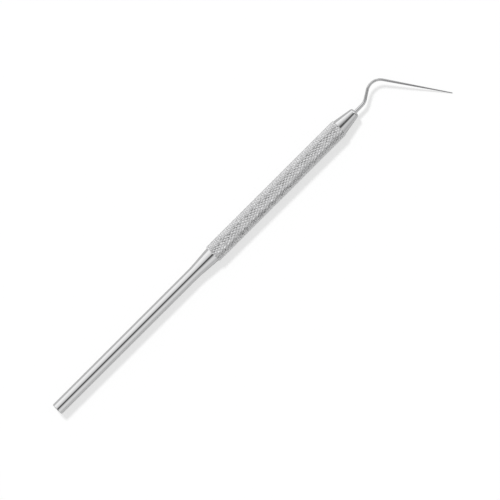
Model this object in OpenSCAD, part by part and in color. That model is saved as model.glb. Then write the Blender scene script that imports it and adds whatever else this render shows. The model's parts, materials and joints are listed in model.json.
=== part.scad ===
// Single-ended dental hand instrument with a bent, tapered needle point.
// The handle is one turned and knurled bar. The needle is a second piece, pressed into the handle's nose.
// It lies as on a tray: on the lowest crests of its grip and on the tip of its point, handle along X.
// All sizes are in millimetres and degrees.

/* [Tail] */
// Diameter of the plain shaft behind the grip
tail_d = 4.2; // [3.4:0.1:5.2]
// Length of the plain shaft, from its end to the flare
tail_len = 63; // [40:0.5:90]
// Chamfer round the end of the shaft
tail_chamfer = 0.25; // [0.1:0.05:0.6]
// Length of the flare that leads up to the grip
flare_len = 8.5; // [4:0.5:16]
// How far the flare stays below the bottom of the knurl's grooves
flare_step = 0.15; // [0.05:0.05:0.4]

/* [Grip] */
// Diameter over the crests of the knurl
grip_d = 6.4; // [5.6:0.1:9]
// Length of the knurled grip
grip_len = 58; // [40:0.5:80]
// Diamonds in one ring of the knurl
knurl_count = 22; // [16:2:28]
// Angle between the knurl's grooves and the handle
knurl_angle = 29; // [24:1:36]
// Depth of the knurl's grooves
knurl_depth = 0.3; // [0.15:0.05:0.4]

/* [Nose] */
// Length of the smooth nose cone
nose_len = 7.4; // [5:0.1:14]
// How far the nose's base stays below the bottom of the knurl's grooves
nose_step = 0.05; // [0.05:0.05:0.4]
// Diameter of the nose where its rim starts to round over
nose_d = 3.5; // [3:0.1:4.2]
// Radius of the rounded rim
rim_r = 0.85; // [0.3:0.05:0.9]

/* [Socket] */
// Diameter of the needle's tang and of the bore that it is pressed into
tang_d = 1.3; // [1:0.05:1.5]
// Length of the tang
tang_len = 16; // [8:0.5:20]
// Lead-in chamfer on the tang's inner end
tang_chamfer = 0.15; // [0.05:0.05:0.3]
// Room left between the tang's inner end and the bottom of the bore
socket_gap = 0.5; // [0.2:0.1:2]
// Full angle of the drill point at the bottom of the bore
drill_angle = 118; // [90:1:140]
// Width of the countersink round the mouth of the bore
mouth_chamfer = 0.2; // [0.05:0.05:0.25]

/* [Needle] */
// Diameter of the shank where it leaves the tang
shank_d = 1.2; // [0.9:0.05:1.25]
// Straight length of the shank outside the nose
shank_len = 2.9; // [1:0.1:8]
// Angle of the first bend, away from the point
back_bend = 33.5; // [10:0.5:45]
// Radius of the first bend
back_bend_r = 4.3; // [3:0.1:8]
// Straight length between the bends
neck_len = 2.8; // [1:0.1:8]
// Angle of the second bend, towards the point
point_bend = 89; // [75:0.5:110]
// Radius of the second bend
point_bend_r = 4.4; // [3:0.1:8]
// Length of the straight, tapered point
point_len = 23.5; // [16:0.5:28]
// Diameter at the root of the point
point_d = 0.8; // [0.6:0.05:1]
// Diameter of the rounded tip
tip_d = 0.28; // [0.2:0.02:0.5]

/* [Hidden] */

$fn = 96;
wire_sides = 16;       // flats round the needle
bend_step = 6;         // degrees of bend from one ring of the needle to the next
rim_step = 15;         // degrees from one point of the rounded rim to the next
root_overlap = 1;      // length of the needle's shank that is rooted inside its tang

// Stations along the handle, from the end of the tail
flare_end = tail_len + flare_len;
grip_end = flare_end + grip_len;
nose_end = grip_end + nose_len;

// Knurl: the grooves cross the grip at both hands of the same helix
groove_d = grip_d - 2 * knurl_depth;
diamond_w = PI * grip_d / knurl_count;
knurl_rows = round(grip_len / (diamond_w / 2 / tan(knurl_angle)));
knurl_cols = 2 * knurl_count;

flare_d = groove_d - 2 * flare_step;
nose_base_d = groove_d - 2 * nose_step;
mouth_d = tang_d + 2 * mouth_chamfer;

// Needle: each leg of its centreline is a length and the turn made over it
arc = PI / 180;
legs = [
    [root_overlap + mouth_chamfer + shank_len, 0],
    [back_bend_r * back_bend * arc, back_bend],
    [neck_len, 0],
    [point_bend_r * point_bend * arc, -point_bend],
    [point_len - tip_d / 2, 0]
];
steps = [
    for (leg = legs)
        let (n = max(1, ceil(abs(leg[1]) / bend_step)))
            for (i = [1:n]) leg / n
];
shank_start = nose_end - mouth_chamfer - root_overlap;
wire = trail(steps, [shank_start, 0], 0, 0);
tip = wire[len(wire) - 1];
point_start = tip[3] - point_len + tip_d / 2;
taper = [[root_overlap, shank_d], [point_start, point_d], [tip[3], tip_d]];

// Lying pose: the needle is rolled about the handle until its tip is level with the lowest crests
roll = asin((grip_d - tip_d) / 2 / -tip[1]);
front_x = max([for (at = wire) at[0] + wire_r(at[3])]);
left_y = max(grip_d / 2, max([for (at = wire) at[1] * cos(roll) + wire_r(at[3])]));
right_y = min(-grip_d / 2, min([for (at = wire) at[1] * cos(roll) - wire_r(at[3])]));

// A point of the knurled band: ring j along the grip, column k round it
function knurl_point(j, k) =
    let (
        crest = (j + k) % 2 == 0,
        r = j > knurl_rows ? groove_d / 4 : (crest ? grip_d : groove_d) / 2,
        a = 360 * k / knurl_cols,
        z = j > knurl_rows + 1 ? 0 : min(j / knurl_rows, 1) * grip_len
    )
    [r * cos(a), r * sin(a), flare_end + z];

// Points [x, y, heading, distance] along a centreline made of short steps
function trail(steps, at, heading, gone, i = 0) =
    i == len(steps) ? [[at[0], at[1], heading, gone]] :
    let (
        length = steps[i][0],
        turn = steps[i][1],
        chord = turn == 0 ? length : 2 * length / (turn * arc) * sin(turn / 2),
        along = heading + turn / 2,
        next = at + chord * [cos(along), sin(along)]
    )
    concat([[at[0], at[1], heading, gone]], trail(steps, next, heading + turn, gone + length, i + 1));

// Radius of the needle at a distance along it
function wire_r(gone) = lookup(gone, taper) / 2;

// A ring of points round the needle, a little ahead of a station on its centreline
function wire_ring(at, r, ahead = 0) = [
    for (k = [0:wire_sides - 1])
        let (a = 360 * k / wire_sides)
            [
                at[0] + ahead * cos(at[2]) - r * cos(a) * sin(at[2]),
                at[1] + ahead * sin(at[2]) + r * cos(a) * cos(at[2]),
                r * sin(a)
            ]
];

// Triangles of the band between ring i and ring i + 1, where each ring has n points
function band(i, n) = [
    for (k = [0:n - 1])
        let (a = i * n + k, b = i * n + (k + 1) % n)
            each [[a, a + n, b], [b, a + n, b + n]]
];

module on_tray() translate([-front_x / 2, -(left_y + right_y) / 2, grip_d / 2]) children();

module along_handle() rotate([0, 90, 0]) children();

// The turned bar: tail, flare, core of the grip, and nose with its rounded rim
module bar() {
    rim_z = nose_end - rim_r;
    rim_x = nose_d / 2 - rim_r;
    rotate_extrude()
        polygon([
            [0, 0],
            [tail_d / 2 - tail_chamfer, 0],
            [tail_d / 2, tail_chamfer],
            [tail_d / 2, tail_len],
            [flare_d / 2, flare_end],
            [nose_base_d / 2, grip_end],
            for (a = [0:rim_step:90]) [rim_x + rim_r * cos(a), rim_z + rim_r * sin(a)],
            [0, nose_end]
        ]);
}

// The knurled band round the core: crests and groove crossings alternate round each ring and from one
// ring to the next. The last two rings close the band on the inside, where the core fills it.
module knurl() {
    rings = knurl_rows + 3;
    points = [for (j = [0:rings - 1], k = [0:knurl_cols - 1]) knurl_point(j, k)];
    faces = [
        for (j = [0:rings - 1], k = [0:knurl_cols - 1])
            let (
                row = j * knurl_cols,
                next_row = (j + 1) % rings * knurl_cols,
                next_k = (k + 1) % knurl_cols,
                a = row + k,
                b = row + next_k,
                c = next_row + k,
                d = next_row + next_k
            )
            each ((j + k) % 2 == 0 ? [[a, c, b], [b, c, d]] : [[a, d, b], [a, c, d]])
    ];
    polyhedron(points, faces);
}

// The blind bore for the tang, with its drill point and its countersunk mouth
module socket() {
    bottom = nose_end - mouth_chamfer - tang_len - socket_gap;
    past_face = mouth_chamfer;
    rotate_extrude()
        polygon([
            [0, bottom - tang_d / 2 / tan(drill_angle / 2)],
            [tang_d / 2, bottom],
            [tang_d / 2, nose_end - mouth_chamfer],
            [mouth_d / 2, nose_end],
            [mouth_d / 2 + past_face, nose_end + past_face],
            [0, nose_end + past_face]
        ]);
}

module handle()
    color("silver")
        on_tray()
            along_handle()
                union() {
                    difference() {
                        bar();
                        socket();
                    }
                    knurl();
                }

// The straight tang, which fills the bore up to the countersink
module tang() {
    front = nose_end - mouth_chamfer;
    rotate_extrude()
        polygon([
            [0, front - tang_len],
            [tang_d / 2 - tang_chamfer, front - tang_len],
            [tang_d / 2, front - tang_len + tang_chamfer],
            [tang_d / 2, front],
            [0, front]
        ]);
}

// Shank, bends and point, as one wire that tapers all the way to a round tip
module needle() {
    tip_r = tip_d / 2;
    rings = concat(
        [for (at = wire) wire_ring(at, wire_r(at[3]))],
        [for (a = [30, 60]) wire_ring(tip, tip_r * cos(a), tip_r * sin(a))]
    );
    last = len(rings) - 1;
    tip_point = tip_r * [cos(tip[2]), sin(tip[2]), 0] + [tip[0], tip[1], 0];
    points = concat([for (ring = rings) each ring], [tip_point]);
    root_face = [for (k = [0:wire_sides - 1]) k];
    sides = [for (i = [0:last - 1]) each band(i, wire_sides)];
    tip_faces = [
        for (k = [0:wire_sides - 1])
            [last * wire_sides + (k + 1) % wire_sides, last * wire_sides + k, len(points) - 1]
    ];
    polyhedron(points, concat([root_face], sides, tip_faces));
}

module working_end()
    color("gainsboro")
        on_tray()
            rotate([roll, 0, 0]) {
                along_handle() tang();
                needle();
            }

handle();
working_end();
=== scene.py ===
# %% [markdown]
# # A root canal spreader in turned, knurled and drawn steel
#
# The instrument is a dentist's hand tool of two pieces: a solid steel handle, and a bent needle that is
# pressed into the handle's nose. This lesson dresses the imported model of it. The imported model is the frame:
# it says where each piece is and how large, and nothing here moves it.

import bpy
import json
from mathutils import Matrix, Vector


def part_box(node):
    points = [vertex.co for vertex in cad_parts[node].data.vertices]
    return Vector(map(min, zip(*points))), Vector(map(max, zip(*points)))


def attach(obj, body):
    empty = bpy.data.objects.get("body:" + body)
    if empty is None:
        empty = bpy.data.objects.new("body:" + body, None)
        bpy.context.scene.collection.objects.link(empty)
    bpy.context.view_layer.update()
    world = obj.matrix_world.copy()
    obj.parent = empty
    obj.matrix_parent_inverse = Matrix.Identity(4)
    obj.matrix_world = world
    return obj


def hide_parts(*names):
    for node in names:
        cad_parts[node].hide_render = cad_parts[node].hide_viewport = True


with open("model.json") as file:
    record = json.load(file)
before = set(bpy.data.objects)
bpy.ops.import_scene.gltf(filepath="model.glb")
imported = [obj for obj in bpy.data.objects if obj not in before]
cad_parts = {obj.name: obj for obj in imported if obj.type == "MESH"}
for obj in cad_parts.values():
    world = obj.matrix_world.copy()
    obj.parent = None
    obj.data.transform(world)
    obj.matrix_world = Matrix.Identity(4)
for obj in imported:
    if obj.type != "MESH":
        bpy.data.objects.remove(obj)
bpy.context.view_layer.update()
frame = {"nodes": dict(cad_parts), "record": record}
print("nodes in the frame:", sorted(frame["nodes"]))

# %% [markdown]
# ## Where the handle lies
#
# The handle lies along X, so one box gives its axis, its two ends and the radius over its knurl. The radius
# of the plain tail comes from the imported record, where the tail is the shaft that goes into a rack. Blender
# works in metres and a workshop in millimetres, so sizes are written in millimetres and multiplied by MM.

# %% Measure the handle in the frame
import json
import math

import bmesh
import bpy
from mathutils import Matrix, Vector

MM = 0.001

handle_low, handle_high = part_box("handle")
tail_x = handle_low.x
handle_len = handle_high.x - handle_low.x
axis_y = (handle_low.y + handle_high.y) / 2
axis_z = (handle_low.z + handle_high.z) / 2
crest_r = (handle_high.z - handle_low.z) / 2
mounts = {mount["name"]: mount for mount in frame["record"]["mounts"]}
tail_r = mounts["tail_shaft"]["dims"]["r_mm"] * MM
print(f"handle {handle_len / MM:.1f} mm long, {2 * crest_r / MM:.2f} mm over the knurl")

# %% [markdown]
# ## Skins through rings
#
# A turned bar and a bent wire are the same kind of shape: a row of rings along a line. One helper lays a
# skin over such rings. A ring of a single point is a pole, which closes an end. A UV map goes along with it,
# with U along the piece and V round it, so that a finish can later follow the surface. Edges that turn
# sharply stay sharp, and the rest is smooth.

# %% Lay a skin over rings of points
SHARP_EDGE = math.radians(32)
UV_MAP = "along"


def new_object(name, data):
    """An object in the scene that shows this mesh, lamp or camera."""
    made = bpy.data.objects.new(name, data)
    bpy.context.scene.collection.objects.link(made)
    return made


def ring_angles(radius, sides):
    """The angles of a ring's points. A ring without a radius is a pole and has one point."""
    return [2 * math.pi * k / sides for k in range(sides if radius > 0 else 1)]


def skin(name, rings, stations):
    """A closed mesh through rings of points, with U along the stations and V round the rings."""
    points = [point for ring in rings for point in ring]
    first = [sum(len(ring) for ring in rings[:i]) for i in range(len(rings))]
    sides = max(len(ring) for ring in rings)

    def corner(i, k):
        """A point's number and its place on the UV map. A pole's one point has a place for every step."""
        return first[i] + k % len(rings[i]), (stations[i], k / sides)

    faces = []
    for i in range(len(rings) - 1):
        for k in range(sides):
            face = [corner(i, k), corner(i + 1, k), corner(i + 1, k + 1), corner(i, k + 1)]
            if len(rings[i]) == 1:
                face.pop(3)
            if len(rings[i + 1]) == 1:
                face.pop(2)
            faces.append(face)
    mesh = bpy.data.meshes.new(name)
    mesh.from_pydata(points, [], [[number for number, place in face] for face in faces])
    places = [place for face in faces for number, place in face]
    for loop, place in zip(mesh.uv_layers.new(name=UV_MAP).data, places):
        loop.uv = place
    mesh.shade_smooth()
    mesh.set_sharp_from_angle(angle=SHARP_EDGE)
    return new_object(name, mesh)


print(f"skins keep edges sharp from {math.degrees(SHARP_EDGE):.0f} degrees on")

# %% [markdown]
# ## The turned bar
#
# On the lathe the handle starts as a round bar. The tail is turned down and its end broken with a small
# round, the flare rises to the grip, and the nose is turned to a cone whose rim is rolled over to a soft
# edge. A small drill makes the blind bore for the needle, and a countersink opens its mouth. All of that is
# one profile, so the bar is one skin over rings. Cylinders and booleans would do it too, but a profile keeps
# every edge's round in one place. Short support steps beside each corner keep the long reflections straight.
# The UV map counts the distance along the profile, so a pattern keeps its scale on the end face and on the
# cone too.

# %% Sizes of the bar
TAIL_LEN = 63 * MM
FLARE_LEN = 8.5 * MM
GRIP_LEN = 58 * MM
TAIL_ROUND = 0.25 * MM
FLARE_BLEND = 1.4 * MM
FLARE_R = 2.75 * MM
GROOVE_DEPTH = 0.2 * MM
NOSE_BASE_R = 2.85 * MM
NOSE_R = 1.75 * MM
RIM_R = 0.85 * MM
TANG_R = 0.65 * MM
TANG_LEN = 16 * MM
SOCKET_GAP = 0.5 * MM
DRILL_HALF_ANGLE = math.radians(59)
MOUTH_CHAMFER = 0.2 * MM
UNDER_KNURL = 0.02 * MM

grip_start = TAIL_LEN + FLARE_LEN
grip_end = grip_start + GRIP_LEN
groove_r = crest_r - GROOVE_DEPTH
print(f"nose {(handle_len - grip_end) / MM:.1f} mm long, groove radius {groove_r / MM:.2f} mm")

# %% Draw profiles
SUPPORT = 0.12 * MM


def arc(centre, radius, start, end, steps):
    """Points [along, out] of an arc, with its angles in degrees from the direction along the bar."""
    angles = [math.radians(start + (end - start) * i / steps) for i in range(steps + 1)]
    return [[centre[0] + radius * math.cos(a), centre[1] + radius * math.sin(a)] for a in angles]


def blend(start, corner, end, steps):
    """Points of a smooth run-in from one straight line to the next, past the corner between them."""
    shares = [i / steps for i in range(steps + 1)]
    weights = [((1 - t) ** 2, 2 * t * (1 - t), t ** 2) for t in shares]
    return [[a * start[i] + b * corner[i] + c * end[i] for i in (0, 1)] for a, b, c in weights]


def supported(profile):
    """The same profile, with a point close to both ends of each long straight run."""
    points = [Vector(point) for point in profile]
    full = [points[0]]
    for here, there in zip(points, points[1:]):
        run = there - here
        if run.length > 4 * SUPPORT:
            step = run.normalized() * SUPPORT
            full += [here + step, there - step]
        full.append(there)
    return full


def distances(profile):
    """How far each point of a profile is from its start, along the profile."""
    passed = [0]
    for here, there in zip(profile, profile[1:]):
        passed.append(passed[-1] + (there - here).length)
    return passed


print(f"profiles get support steps of {SUPPORT / MM:.2f} mm")

# %% Turn the bar
BAR_SIDES = 160
ROUND_STEPS = 6
RIM_STEPS = 10


def bar_profile():
    """Points [along, out] of half the bar, from the middle of its tail to the bottom of its bore."""
    core_r = groove_r - UNDER_KNURL
    flare_slope = (FLARE_R - tail_r) / FLARE_LEN
    cone_len = handle_len - RIM_R - grip_end
    cone_angle = math.degrees(math.atan((NOSE_BASE_R - NOSE_R) / cone_len))
    bore_end = handle_len - MOUTH_CHAMFER - TANG_LEN - SOCKET_GAP
    return [
        [0, 0],
        *arc((TAIL_ROUND, tail_r - TAIL_ROUND), TAIL_ROUND, 180, 90, ROUND_STEPS),
        *blend(
            (TAIL_LEN - FLARE_BLEND, tail_r),
            (TAIL_LEN, tail_r),
            (TAIL_LEN + FLARE_BLEND, tail_r + FLARE_BLEND * flare_slope),
            ROUND_STEPS,
        ),
        [grip_start + UNDER_KNURL, FLARE_R],
        [grip_start + UNDER_KNURL, core_r],
        [grip_end - UNDER_KNURL, core_r],
        [grip_end - UNDER_KNURL, NOSE_BASE_R],
        *arc((handle_len - RIM_R, NOSE_R - RIM_R), RIM_R, 90 - cone_angle, 0, RIM_STEPS),
        [handle_len, TANG_R + MOUTH_CHAMFER],
        [handle_len - MOUTH_CHAMFER, TANG_R],
        [bore_end, TANG_R],
        [bore_end - TANG_R / math.tan(DRILL_HALF_ANGLE), 0],
    ]


def turned(name, profile, stations):
    """A piece of revolution round the handle's axis."""
    rings = []
    for along, out in profile:
        x = tail_x + along
        turns = ring_angles(out, BAR_SIDES)
        rings.append([(x, axis_y + out * math.sin(a), axis_z + out * math.cos(a)) for a in turns])
    return skin(name, rings, stations)


profile = supported(bar_profile())
passed = distances(profile)
profile_len = passed[-1]
handle_bar = turned("handle_bar", profile, [length / profile_len for length in passed])
print("bar:", len(handle_bar.data.polygons), "faces")

# %% [markdown]
# ## A bench for nodes
#
# Geometry and finishes below are both made of nodes. A node graph is hard to read as a list of links, so two
# small classes let it be written as sums. A Wire is a socket that can be added to and multiplied by numbers
# and by other wires, and a Bench makes any node from its type, its settings and what goes into its sockets.

# %% Write node graphs as expressions


class Wire:
    """A socket of a node graph, with the sums that the graphs below use."""

    def __init__(self, bench, socket):
        self.bench = bench
        self.socket = socket

    def __add__(self, other):
        return self.bench.maths("ADD", self, other)

    def __radd__(self, other):
        return self.bench.maths("ADD", other, self)

    def __sub__(self, other):
        return self.bench.maths("SUBTRACT", self, other)

    def __rsub__(self, other):
        return self.bench.maths("SUBTRACT", other, self)

    def __mul__(self, other):
        return self.bench.maths("MULTIPLY", self, other)

    def __rmul__(self, other):
        return self.bench.maths("MULTIPLY", other, self)

    def __truediv__(self, other):
        return self.bench.maths("DIVIDE", self, other)

    def __rtruediv__(self, other):
        return self.bench.maths("DIVIDE", other, self)


class Bench:
    """A node tree to build in."""

    def __init__(self, tree):
        self.tree = tree
        self.tree.nodes.clear()

    def pick(self, sockets, key):
        """A socket by its place or its name. Nodes that change with their settings hide some of a name."""
        if isinstance(key, int):
            return sockets[key]
        return next(s for s in sockets if s.name == key and not s.is_unavailable)

    def set_stops(self, elements, stops):
        """Puts these places and colours on a colour ramp, which starts out with two stops."""
        while len(elements) < len(stops):
            elements.new(1.0)
        for element, (place, colour) in zip(elements, stops):
            element.position = place
            element.color = colour

    def node(self, kind, settings=None, sockets=None, out=0):
        """Adds a node, sets it up, fills its sockets with numbers or wires, and gives one of its outputs."""
        made = self.tree.nodes.new(kind)
        for name, value in (settings or {}).items():
            if name == "stops":
                self.set_stops(made.color_ramp.elements, value)
            else:
                setattr(made, name, value)
        for key, value in (sockets or {}).items():
            socket = self.pick(made.inputs, key)
            if isinstance(value, Wire):
                self.tree.links.new(value.socket, socket)
            else:
                socket.default_value = value
        return Wire(self, self.pick(made.outputs, out)) if made.outputs else None

    def maths(self, operation, *values):
        """One sum of numbers and wires."""
        return self.node("ShaderNodeMath", {"operation": operation}, dict(enumerate(values)))

    def vector(self, *parts):
        """A vector of three parts."""
        return self.node("ShaderNodeCombineXYZ", {}, dict(enumerate(parts)))

    def split(self, vector):
        """The three parts of a vector."""
        return [self.node("ShaderNodeSeparateXYZ", {}, {0: vector}, out=i) for i in range(3)]

    def eased(self, value, start, full):
        """Runs smoothly from 0 to 1 while a value goes from start to full."""
        sockets = {"Value": value, "From Min": start, "From Max": full}
        return self.node("ShaderNodeMapRange", {"interpolation_type": "SMOOTHSTEP"}, sockets)

    def between(self, share, low, high):
        """A colour part of the way from one to another."""
        settings = {"data_type": "RGBA", "clamp_factor": True}
        return self.node("ShaderNodeMix", settings, {"Factor": share, "A": low, "B": high}, out="Result")


print("the bench is ready")

# %% [markdown]
# ## The knurl
#
# Two hardened wheels are pressed against the turning bar, and their teeth roll two sets of slanting grooves
# into it. What stands between the grooves is a field of small diamonds, and their crests give the fingers
# their hold. A displaced cylinder could show this, but its grid would blunt the grooves. Here Geometry Nodes
# lay one low pyramid on each place of the lattice, on a flat strip as if the grip were unrolled, and then
# roll the strip round the axis. The flanks run on below the grooves, so neighbours meet in a clean V. The
# pyramids of the first and last ring are pressed square at the ends of the grip. Each crest has a small
# flat, and each pyramid is worn and tilted by its own small amount, which makes a used knurl glitter
# unevenly.

# %% Sizes of the knurl
DIAMONDS_ROUND = 22
GROOVE_ANGLE = math.radians(29)
WORN_PATCH = 2.5 * MM
CREST_TILT = math.radians(4.5)
KNURL_SEED = 7

# Shares of a diamond: its flat crest, its base below the grooves, and the height that wear can take off.
CREST_FLAT = 0.15
BASE_SPREAD = 1.15
WORN_HEIGHT = 0.3

diamond_width = 2 * math.pi * crest_r / DIAMONDS_ROUND
ring_count = round(GRIP_LEN / (diamond_width / 2 / math.tan(GROOVE_ANGLE))) + 1
ring_pitch = GRIP_LEN / (ring_count - 1)
print(f"{ring_count} rings of {DIAMONDS_ROUND} diamonds, {ring_pitch / MM:.3f} mm apart")

# %% Shape one pyramid
PYRAMID_SIDES = 4
FLANK_STEPS = 5


def store(bench, geometry, domain, name, value):
    """The same geometry with a named number on each of its points or instances, for the finish to read."""
    settings = {"data_type": "FLOAT", "domain": domain}
    sockets = {"Geometry": geometry, "Name": name, "Value": value}
    return bench.node("GeometryNodeStoreNamedAttribute", settings, sockets)


def pyramid(bench, size):
    """A pyramid of height 1 with a flat crest, whose flanks run on below the level of the grooves."""
    cone = bench.node(
        "GeometryNodeMeshCone",
        {"fill_type": "NGON"},
        {
            "Vertices": PYRAMID_SIDES,
            "Side Segments": FLANK_STEPS,
            "Radius Top": size["Crest flat"],
            "Radius Bottom": size["Base spread"],
            "Depth": 1.0,
        },
        out="Mesh",
    )
    along, across, level = bench.split(bench.node("GeometryNodeInputPosition"))
    spread = size["Base spread"] - (size["Base spread"] - size["Crest flat"]) * level
    height = (1 - spread) / (1 - size["Crest flat"])
    raised = bench.vector(along, across / 2, height)
    shaped = bench.node("GeometryNodeSetPosition", {}, {"Geometry": cone, "Position": raised})

    # The number is worked out on the raised shape: 1 on the crest, and a little below 0 in the grooves.
    return store(bench, shaped, "POINT", "crest", height)


print(f"a pyramid has {PYRAMID_SIDES * FLANK_STEPS + 2} faces")

# %% Lay the pyramids on a flat strip


def drawn(bench, index, low, high, seed):
    """A number between two others that is drawn anew for each pyramid."""
    sockets = {"Min": low, "Max": high, "ID": index, "Seed": seed}
    return bench.node("FunctionNodeRandomValue", {"data_type": "FLOAT"}, sockets, out="Value")


def unrolled_band(bench, size):
    """A pyramid on each place of the lattice, where every other ring is shifted by half a diamond."""
    index = bench.node("GeometryNodeInputIndex")
    ring = bench.maths("FLOOR", index / size["Diamonds round"])
    place = index - ring * size["Diamonds round"] + bench.maths("MODULO", ring, 2) / 2
    spot = bench.vector(ring * size["Ring pitch"], place * size["Diamond width"], 0.0)
    count = size["Rings"] * size["Diamonds round"]
    lattice = bench.node("GeometryNodePoints", {}, {"Count": count, "Position": spot})

    # Each crest is worn by its own amount, and a wide, slow pattern makes whole patches smoother.
    texture = {"Vector": spot, "Scale": 1 / WORN_PATCH, "Detail": 1.0}
    patch = bench.node("ShaderNodeTexNoise", {}, texture, out="Fac")
    luck = drawn(bench, index, 0.0, 1.0, size["Seed"])
    tall = (1 - size["Worn height"] * (luck + patch) / 2) * size["Groove depth"]
    stretch = bench.vector(size["Ring pitch"], size["Diamond width"], tall)

    # The tilts draw from seeds of their own, so that they don't follow the wear.
    least = size["Crest tilt"] * -1
    tilts = [drawn(bench, index, least, size["Crest tilt"], size["Seed"] + step) for step in (1, 2)]
    tilt = bench.vector(*tilts, 0.0)
    sockets = {"Points": lattice, "Instance": pyramid(bench, size), "Rotation": tilt, "Scale": stretch}
    field = bench.node("GeometryNodeInstanceOnPoints", {}, sockets)
    field = store(bench, field, "INSTANCE", "luck", luck)
    return bench.node("GeometryNodeRealizeInstances", {}, {"Geometry": field})


print(f"the strip is {DIAMONDS_ROUND * diamond_width / MM:.2f} mm wide before it is rolled up")

# %% Build the knurl's node tree
KNURL_INPUTS = {
    "NodeSocketInt": ["Rings", "Diamonds round", "Seed"],
    "NodeSocketFloat": [
        "Start", "Length", "Ring pitch", "Diamond width", "Groove radius", "Groove depth",
        "Axis Y", "Axis Z", "Crest flat", "Base spread", "Worn height", "Crest tilt",
    ],
    "NodeSocketMaterial": ["Finish"],
}


def rolled_up(bench, size, strip):
    """The strip round the handle's axis, where the distance across it becomes an angle."""
    along, across, above = bench.split(bench.node("GeometryNodeInputPosition"))
    pressed = bench.maths("MINIMUM", bench.maths("MAXIMUM", along, 0.0), size["Length"])
    angle = across / (size["Diamonds round"] * size["Diamond width"]) * (2 * math.pi)
    out = size["Groove radius"] + above
    rolled = bench.vector(
        size["Start"] + pressed,
        size["Axis Y"] + out * bench.maths("SINE", angle),
        size["Axis Z"] + out * bench.maths("COSINE", angle),
    )
    return bench.node("GeometryNodeSetPosition", {}, {"Geometry": strip, "Position": rolled})


def knurl_tree():
    """A Geometry Nodes tree that rolls a lattice of pyramids round the handle's axis."""
    tree = bpy.data.node_groups.new("knurled_band", "GeometryNodeTree")
    bench = Bench(tree)
    for kind, names in KNURL_INPUTS.items():
        for name in names:
            tree.interface.new_socket(name, in_out="INPUT", socket_type=kind)
    tree.interface.new_socket("Geometry", in_out="OUTPUT", socket_type="NodeSocketGeometry")
    inputs = tree.nodes.new("NodeGroupInput")
    size = {socket.name: Wire(bench, socket) for socket in inputs.outputs if socket.name}
    band = rolled_up(bench, size, unrolled_band(bench, size))
    band = bench.node("GeometryNodeSetShadeSmooth", {}, {0: band, "Shade Smooth": False})
    band = bench.node("GeometryNodeSetMaterial", {}, {"Geometry": band, "Material": size["Finish"]})
    bench.node("NodeGroupOutput", {}, {"Geometry": band})
    return tree


knurled_band = knurl_tree()
print("the knurl's tree has", len(knurled_band.nodes), "nodes")

# %% [markdown]
# ## The finishes
#
# All three surfaces are the same stainless steel, and the work done on each gives it its own look. The bar
# is polished on the lathe, which leaves hair-thin lines round it, and rings on its end face. Handling adds
# fine lines along it and faint smears. The knurl is rolled and never polished: its flanks are duller, and
# its colour is greyer in the grooves. The needle is drawn and ground, with lines along the wire, and its
# colour goes from a bright shank to a greyer point, which is painted light and shade. Image textures could
# hold such lines, but noise in cells of a known size stays sharp at any distance and needs no file. Every
# pattern is written at its real scale, in cells a few hundredths of a millimetre wide for lines and a few
# millimetres for smears. Lathe lines and drawn lines follow the surface by its UV map, the knurl reads the
# numbers that its tree stored, and the rest reads Object coordinates.

# %% Helpers for metal
BLUE_TRACE = 0.005


def cool_grey(level):
    """The colour of steel: a grey with a trace of blue."""
    return (level, level, level + BLUE_TRACE, 1)


def new_finish(name):
    """A material and an empty bench in it."""
    material = bpy.data.materials.new(name)
    material.use_nodes = True
    return material, Bench(material.node_tree)


def cells(bench, coordinates, size, detail=2.0):
    """Noise from 0 to 1 whose cells have this size along each direction."""
    scale = [1 / length for length in size]
    placed = bench.node("ShaderNodeMapping", {}, {"Vector": coordinates, "Scale": scale})
    sockets = {"Vector": placed, "Scale": 1.0, "Detail": detail}
    return bench.node("ShaderNodeTexNoise", {}, sockets, out="Fac")


def metal(bench, colour, roughness, height, depth):
    """Steel with this colour, this roughness and a fine relief of this real depth, as the surface."""
    normal = bench.node("ShaderNodeBump", {}, {"Height": height, "Strength": 1.0, "Distance": depth})
    sockets = {"Base Color": colour, "Metallic": 1.0, "Roughness": roughness, "Normal": normal}
    steel = bench.node("ShaderNodeBsdfPrincipled", {}, sockets)
    bench.node("ShaderNodeOutputMaterial", {}, {"Surface": steel})


print("the blue in the steel:", BLUE_TRACE)

# %% Polished steel of the bar
LATHE_LINE = 0.06 * MM
LATHE_LINE_TURNS = 4.0
BAR_SMEAR = (7 * MM, 2.5 * MM, 2.5 * MM)
HANDLING_LINE = (9 * MM, 0.07 * MM, 0.07 * MM)
POLISHED_RELIEF = 0.0004 * MM


def polished_steel():
    """A mirror with lathe lines round it, handling lines along it and faint smears."""
    material, bench = new_finish("polished_steel")
    place = bench.node("ShaderNodeTexCoord", out="Object")
    along = bench.node("ShaderNodeUVMap", {"uv_map": UV_MAP})
    lathe_lines = cells(bench, along, (LATHE_LINE / profile_len, LATHE_LINE_TURNS, 1.0))
    smears = cells(bench, place, BAR_SMEAR)
    handling = cells(bench, place, HANDLING_LINE, detail=1.0)
    colour = bench.between(smears * 0.6, cool_grey(0.78), cool_grey(0.73))
    roughness = 0.03 + smears * 0.05 + lathe_lines * 0.03 + handling * 0.03
    metal(bench, colour, roughness, lathe_lines + handling * 0.5, POLISHED_RELIEF)
    return material


handle_bar.data.materials.append(polished_steel())
print("the bar is", handle_bar.data.materials[0].name)

# %% Dull steel of the knurl
GRIT = 0.12 * MM
GRIT_RELIEF = 0.012 * MM
GROOVE_TOP = 0.75


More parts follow.
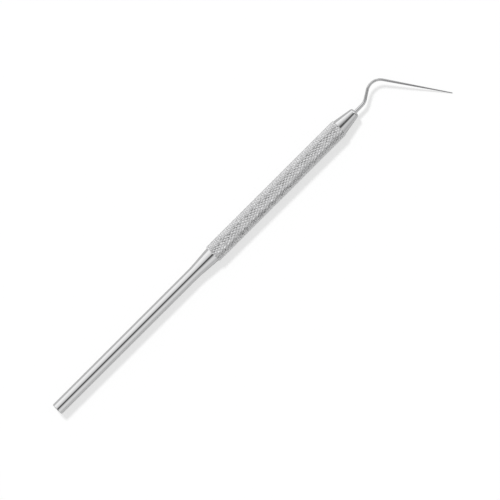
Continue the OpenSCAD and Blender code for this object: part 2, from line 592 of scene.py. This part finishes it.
def knurled_steel():
    """Duller, gritty steel that is greyer in the grooves, with a roughness of its own on each pyramid."""
    material, bench = new_finish("knurled_steel")
    place = bench.node("ShaderNodeTexCoord", out="Object")
    crest = bench.node("ShaderNodeAttribute", {"attribute_name": "crest"}, out="Fac")
    luck = bench.node("ShaderNodeAttribute", {"attribute_name": "luck"}, out="Fac")
    grit = cells(bench, place, (GRIT, GRIT, GRIT))
    sockets = {"Value": crest, "From Min": GROOVE_TOP, "From Max": 0.0}
    groove = bench.node("ShaderNodeMapRange", {"clamp": True}, sockets)
    # The colour turns greyer towards the bottom of the grooves.
    groove_grey = groove * (0.45 + grit * 0.6)
    colour = bench.between(groove_grey, cool_grey(0.91), cool_grey(0.68))
    roughness = 0.17 + groove * 0.1 + luck * 0.14 + grit * 0.05
    metal(bench, colour, roughness, grit, GRIT_RELIEF)
    return material


rolled_finish = knurled_steel()
print("the knurl will be", rolled_finish.name)

# %% Satin steel of the needle
DRAWN_RELIEF = 0.002 * MM
NEEDLE_SMEAR = 3 * MM

# Shares of the wire's length and of a turn round it
DRAWN_LINE = (0.25, 0.02, 1.0)
GRIND_AND_SHADE_FROM = 0.38
GRIND_AND_SHADE_TO = 0.85


def satin_steel():
    """Drawn steel with lines along the wire, painted light on the shank and painted shade on the rougher point.
    """
    material, bench = new_finish("satin_steel")
    place = bench.node("ShaderNodeTexCoord", out="Object")
    along = bench.node("ShaderNodeUVMap", {"uv_map": UV_MAP})
    drawn_lines = cells(bench, along, DRAWN_LINE)
    smears = cells(bench, place, (NEEDLE_SMEAR, NEEDLE_SMEAR, NEEDLE_SMEAR))
    # The ground point is rougher, and the colour from a bright shank to a greyer point is painted light and
    # shade.
    grind_and_painted_shade = bench.eased(bench.split(along)[0], GRIND_AND_SHADE_FROM, GRIND_AND_SHADE_TO)
    colour = bench.between(grind_and_painted_shade, cool_grey(0.68), cool_grey(0.38))
    roughness = 0.06 + grind_and_painted_shade * 0.1 + drawn_lines * 0.08 + smears * 0.05
    metal(bench, colour, roughness, drawn_lines, DRAWN_RELIEF)
    return material


needle_finish = satin_steel()
print("the needle will be", needle_finish.name)

# %% [markdown]
# ## Rolling the grip
#
# The tree sits on an empty object as a modifier, with a value for each of its inputs. The evaluated object
# is then copied to a plain mesh and the modifier is taken off, because the handed-over part holds meshes
# only.

# %% Roll the knurl


def grown(name, tree, values):
    """The plain mesh that a Geometry Nodes tree makes from these values, as a new piece."""
    piece = new_object(name, bpy.data.meshes.new(name))
    modifier = piece.modifiers.new(name, "NODES")
    modifier.node_group = tree
    for item in tree.interface.items_tree:
        if item.item_type == "SOCKET" and item.in_out == "INPUT":
            modifier[item.identifier] = values[item.name]
    ready = piece.evaluated_get(bpy.context.evaluated_depsgraph_get())
    mesh = bpy.data.meshes.new_from_object(ready)
    piece.modifiers.clear()
    piece.data = mesh
    return piece


grip_knurl = grown(
    "grip_knurl",
    knurled_band,
    {
        "Rings": ring_count,
        "Diamonds round": DIAMONDS_ROUND,
        "Seed": KNURL_SEED,
        "Start": tail_x + grip_start,
        "Length": GRIP_LEN,
        "Ring pitch": ring_pitch,
        "Diamond width": diamond_width,
        "Groove radius": groove_r,
        "Groove depth": GROOVE_DEPTH,
        "Axis Y": axis_y,
        "Axis Z": axis_z,
        "Crest flat": CREST_FLAT,
        "Base spread": BASE_SPREAD,
        "Worn height": WORN_HEIGHT,
        "Crest tilt": CREST_TILT,
        "Finish": rolled_finish,
    },
)
print("knurl:", len(grip_knurl.data.polygons), "faces")

# %% [markdown]
# ## The needle
#
# The working end starts as a straight piece of hard wire. Its tang is pressed into the nose, the rest is
# ground to an even taper, and it is bent cold over two pins: first away from the point, then through a right
# angle back across the handle's axis. The wire's middle line is therefore straight legs and arcs, and a
# function can say where it is at any distance from its inner end. A curve with a bevel could do it too, but
# rings set square to the line, with the taper as their radius, keep the tang's chamfer and the round tip
# exact. The instrument lies on its grip and on the tip of the point, so the whole wire is rolled about the
# handle until its tip touches the tray.

# %% Sizes of the needle
TANG_CHAMFER = 0.15 * MM
TANG_EASE = 0.004 * MM
SHANK_R = 0.6 * MM
SHANK_LEN = 2.9 * MM
BACK_BEND = math.radians(33.5)
BACK_BEND_R = 4.3 * MM
NECK_LEN = 2.8 * MM
POINT_BEND = math.radians(89)
POINT_BEND_R = 4.4 * MM
POINT_LEN = 23.5 * MM
POINT_R = 0.4 * MM
TIP_R = 0.14 * MM

legs = [
    (TANG_LEN, 0),
    (MOUTH_CHAMFER + SHANK_LEN, 0),
    (BACK_BEND_R * BACK_BEND, BACK_BEND),
    (NECK_LEN, 0),
    (POINT_BEND_R * POINT_BEND, -POINT_BEND),
    (POINT_LEN - TIP_R, 0),
]
wire_len = sum(length for length, turn in legs)
point_start = wire_len - legs[-1][0]
print(f"wire {wire_len / MM:.1f} mm long from tang to tip")

# %% Follow the wire


def wire_at(gone):
    """Place [x, y] and heading of the wire's middle line at a distance from its inner end, not rolled yet."""
    x, y, heading = tail_x + handle_len - MOUTH_CHAMFER - TANG_LEN, 0.0, 0.0
    for length, turn in legs:
        part = min(gone, length)
        swing = turn * part / length
        chord = part if turn == 0 else 2 * length / turn * math.sin(swing / 2)
        x += chord * math.cos(heading + swing / 2)
        y += chord * math.sin(heading + swing / 2)
        heading += swing
        gone -= part
    return x, y, heading


def wire_r(gone):
    """Radius of the ground wire at a distance from its inner end."""
    if gone < point_start:
        return SHANK_R + (POINT_R - SHANK_R) * (gone - TANG_LEN) / (point_start - TANG_LEN)
    return POINT_R + (TIP_R - POINT_R) * (gone - point_start) / (wire_len - point_start)


tip_reach = -wire_at(wire_len)[1]
print(f"the tip is {tip_reach / MM:.2f} mm from the handle's axis")

# %% Bend the needle
WIRE_SIDES = 40
BEND_STEPS = 24
STRAIGHT_STEPS = 2
TIP_STEPS = 6


def wire_stations():
    """Distance, radius and lead of each ring, from the middle of the tang's end to the tip."""
    tang_r = TANG_R - TANG_EASE
    stations = [(0, 0, 0), (0, tang_r - TANG_CHAMFER, 0), (TANG_CHAMFER, tang_r, 0), (TANG_LEN, tang_r, 0)]
    gone = TANG_LEN
    for length, turn in legs[1:]:
        steps = BEND_STEPS if turn else STRAIGHT_STEPS
        stations += [(gone + length * i / steps, wire_r(gone + length * i / steps), 0) for i in range(steps)]
        gone += length
    for i in range(TIP_STEPS + 1):
        rise = math.pi / 2 * i / TIP_STEPS
        radius = TIP_R * math.cos(rise) if i < TIP_STEPS else 0
        stations.append((wire_len, radius, TIP_R * math.sin(rise)))
    return stations


def bent_wire(name, stations, lie):
    """The wire through these stations, turned and moved to where it lies."""
    rings = []
    for gone, radius, lead in stations:
        x, y, heading = wire_at(gone)
        side = Vector((-math.sin(heading), math.cos(heading), 0))
        up = Vector((0, 0, 1))
        centre = Vector((x, y, 0)) + lead * side.cross(up)
        turns = ring_angles(radius, WIRE_SIDES)
        rings.append([lie @ (centre + radius * (math.cos(a) * up + math.sin(a) * side)) for a in turns])
    return skin(name, rings, [(gone + lead) / (wire_len + TIP_R) for gone, radius, lead in stations])


roll = math.asin((crest_r - TIP_R) / tip_reach)
lie = Matrix.Translation((0, axis_y, axis_z)) @ Matrix.Rotation(roll, 4, "X")
needle = bent_wire("needle", wire_stations(), lie)
needle.data.materials.append(needle_finish)
print(f"needle rolled by {math.degrees(roll):.2f} degrees, {len(needle.data.polygons)} faces")

# %% [markdown]
# ## What it weighs
#
# A closed skin has a volume, and steel has a density, so the pieces can be weighed before they are dressed
# any further. A negative number would mean that a skin is inside out. The knurl's figure is too high,
# because its pyramids overlap each other and the bar below the grooves.

# %% Weigh the pieces
STEEL_DENSITY = 7800
GRAMS = 1000


def volume(piece):
    """Volume of a closed piece in cubic metres."""
    shell = bmesh.new()
    shell.from_mesh(piece.data)
    amount = shell.calc_volume(signed=True)
    shell.free()
    return amount


for piece in (handle_bar, grip_knurl, needle):
    print(f"{piece.name}: {volume(piece) * STEEL_DENSITY * GRAMS:.2f} g")

# %% [markdown]
# ## A white tent
#
# Polished steel shows its surroundings and little else, so the surroundings are the light. The instrument
# lies on a white sheet inside a white tent, and the camera looks down through a slit in the tent's top. The
# slit is dark, and a bright bar shows it as a thin dark line along its crown. The wall on the side of the
# lamp is a little brighter than the other. Large lamps could stand for the walls, but the world can be the
# whole tent at once. For each direction it asks how far it leans across the handle, which gives the
# brightness on a ramp, and how far it points along the handle, which chooses the ramp. The plain bar sees
# only the middle. The nose cone looks a little forwards, and the knurl's flanks look to both ends, where
# dark gaps and a bright strip make the grip lively. The nose's rim sees a plain front wall. Only reflections
# show the tent: matt surfaces get an even grey room, and the camera sees plain white.

# %% Say how bright the tent is
# Each pair is a lean across the handle, in degrees with the lamp's side positive, and a brightness.
TENT_MIDDLE = [
    (-90, 0.54), (-76, 0.68), (-55, 0.85), (-36, 0.86), (-18, 0.45), (-9, 0.06), (2, 0.06),
    (10, 0.46), (18, 0.76), (36, 0.92), (55, 1.1), (76, 1.12), (90, 1.02),
]
TENT_TAIL = [
    (-90, 0.9), (-60, 0.5), (-40, 0.12), (-24, 0.05), (-12, 0.2), (-3, 0.5), (6, 0.85),
    (15, 0.8), (28, 0.5), (45, 0.3), (65, 0.7), (90, 1),
]
TENT_NOSE = [
    (-90, 0.44), (-63, 0.62), (-46, 0.72), (-30, 0.78), (-18, 0.42), (-10, 0.08), (2, 0.08),
    (10, 0.22), (17, 0.4), (30, 0.62), (46, 0.88), (63, 1.08), (90, 1.25),
]
TENT_STRIP = [
    (-90, 0.2), (-60, 0.1), (-40, 0.06), (-24, 0.05), (-12, 0.22), (-3, 0.65), (6, 1.1),
    (15, 1.4), (28, 1.4), (45, 1.3), (65, 0.8), (90, 0.9),
]
TENT_FRONT = [(-90, 0.6), (-20, 0.7), (20, 0.8), (90, 0.7)]
TENT_BRIGHTEST = 1.5

# Beyond the middle, each part starts and is full at these shares of a direction along the handle.
TENT_PARTS = [
    (TENT_TAIL, -0.2, -0.3),
    (TENT_NOSE, 0.2, 0.3),
    (TENT_STRIP, 0.415, 0.44),
    (TENT_FRONT, 0.62, 0.72),
]
ROOM_LEVEL = 0.42
print("the tent has", 1 + len(TENT_PARTS), "parts along the handle")

# %% Put up the tent


def grey(level):
    """A colour without any tint."""
    return (level, level, level, 1)


def tent_wall(bench, lean, levels):
    """The brightness of one part of the tent, by how far a direction leans across the handle."""
    stops = [(angle / 180 + 0.5, grey(level / TENT_BRIGHTEST)) for angle, level in levels]
    return bench.node("ShaderNodeValToRGB", {"stops": stops}, {"Fac": lean}, out="Color")


def white_tent():
    """The world: the tent for reflections, an even room for matt surfaces and white for the camera."""
    world = bpy.data.worlds.new("white_tent")
    world.use_nodes = True
    bench = Bench(world.node_tree)
    ahead, beside, above = bench.split(bench.node("ShaderNodeTexCoord", out="Generated"))
    lean = bench.maths("ARCTAN2", beside, above) / math.pi + 0.5
    walls = tent_wall(bench, lean, TENT_MIDDLE)
    for levels, start, full in TENT_PARTS:
        walls = bench.between(bench.eased(ahead, start, full), walls, tent_wall(bench, lean, levels))
    tent = bench.node("ShaderNodeBackground", {}, {"Color": walls, "Strength": TENT_BRIGHTEST})
    room = bench.node("ShaderNodeBackground", {}, {"Color": grey(ROOM_LEVEL), "Strength": 1.0})
    white = bench.node("ShaderNodeBackground", {}, {"Color": grey(1), "Strength": 1.0})
    mirrored = bench.node("ShaderNodeLightPath", out="Is Glossy Ray")
    camera_sees = bench.node("ShaderNodeLightPath", out="Is Camera Ray")
    seen = bench.node("ShaderNodeMixShader", {}, {0: mirrored, 1: room, 2: tent})
    seen = bench.node("ShaderNodeMixShader", {}, {0: camera_sees, 1: seen, 2: white})
    bench.node("ShaderNodeOutputWorld", {}, {"Surface": seen})
    return world


bpy.context.scene.world = white_tent()
print("the tent is up")

# %% [markdown]
# ## Sheet and lamp
#
# The sheet is matt white paper. It is white to the camera and keeps its shadows. To the steel it is a good
# deal darker, because the bar's two edges mirror the sheet, and if they were as white as the sheet, they
# would melt into it. One broad lamp stands beyond the handle on the bright side, and its disc is wide, so
# each shadow starts soft and grows softer away from the steel. The lamp lights the sheet and stays out of
# the reflections, as a lamp outside the tent does.

# %% Lay the sheet
SHEET_HALF = 2.0
SHEET_GLOW = 0.64
SHEET_IN_STEEL = 0.2


def white_paper():
    """Paper that glows to the camera, so that it stays white round its shadows, and less to the steel."""
    material, bench = new_finish("white_paper")
    camera_sees = bench.node("ShaderNodeLightPath", out="Is Camera Ray")
    steel_sees = bench.node("ShaderNodeLightPath", out="Is Glossy Ray")
    white = camera_sees + steel_sees * SHEET_IN_STEEL
    colour = bench.between(white, grey(0.4), grey(0.98))
    sockets = {"Base Color": colour, "Roughness": 1.0, "Specular IOR Level": 0.0}
    paper = bench.node("ShaderNodeBsdfPrincipled", {}, sockets)
    glow = bench.node("ShaderNodeEmission", {}, {"Color": grey(1), "Strength": 1.0})
    surface = bench.node("ShaderNodeMixShader", {}, {0: white * SHEET_GLOW, 1: paper, 2: glow})
    bench.node("ShaderNodeOutputMaterial", {}, {"Surface": surface})
    return material


corners = [(x * SHEET_HALF, y * SHEET_HALF, 0) for x, y in ((-1, -1), (1, -1), (1, 1), (-1, 1))]
sheet_mesh = bpy.data.meshes.new("sheet")
sheet_mesh.from_pydata(corners, [], [(0, 1, 2, 3)])
sheet_mesh.materials.append(white_paper())
sheet = new_object("sheet", sheet_mesh)
print(f"the sheet is {2 * SHEET_HALF:.0f} m wide")

# %% Set the lamp
LAMP_FROM = Vector((0.144, 0.68, 1.0))
LAMP_STRENGTH = 2.35
LAMP_WIDTH = math.radians(10)

lamp_light = bpy.data.lights.new("lamp", "SUN")
lamp_light.energy = LAMP_STRENGTH
lamp_light.angle = LAMP_WIDTH
lamp = new_object("lamp", lamp_light)
lamp.rotation_euler = LAMP_FROM.to_track_quat("Z", "Y").to_euler()
lamp.visible_glossy = False
print("lamp from", [round(value, 2) for value in LAMP_FROM.normalized()])

# %% [markdown]
# ## Camera
#
# The picture is taken from straight above with a long lens, so nothing converges much. The camera is turned
# so that the handle runs from the lower left to the upper right.

# %% Aim the camera
PICTURE_WIDTH = 162.5 * MM
CAMERA_HEIGHT = 0.9
CAMERA_TURN = math.radians(-44.95)
PICTURE_CENTRE = Vector((-1.03 * MM, -0.26 * MM, 0))
SENSOR_WIDTH = 36

lens = bpy.data.cameras.new("camera")
lens.sensor_width = SENSOR_WIDTH
lens.lens = SENSOR_WIDTH * CAMERA_HEIGHT / PICTURE_WIDTH
camera = new_object("camera", lens)
camera.location = PICTURE_CENTRE + Vector((0, 0, axis_z + CAMERA_HEIGHT))
camera.rotation_euler = (0, 0, CAMERA_TURN)
bpy.context.scene.camera = camera
bpy.context.scene.view_settings.view_transform = "Standard"
print(f"lens {lens.lens:.1f} mm")

# %% [markdown]
# ## Joining the pieces
#
# Each piece rides on the root body, and the part of the frame that it dresses is hidden.

# %% Join the pieces to the frame
for piece, node, slot in (
    (handle_bar, "handle", "handle_steel"),
    (grip_knurl, "handle", "handle_steel"),
    (needle, "working_end", "point_steel"),
):
    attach(piece, "root")
    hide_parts(node)
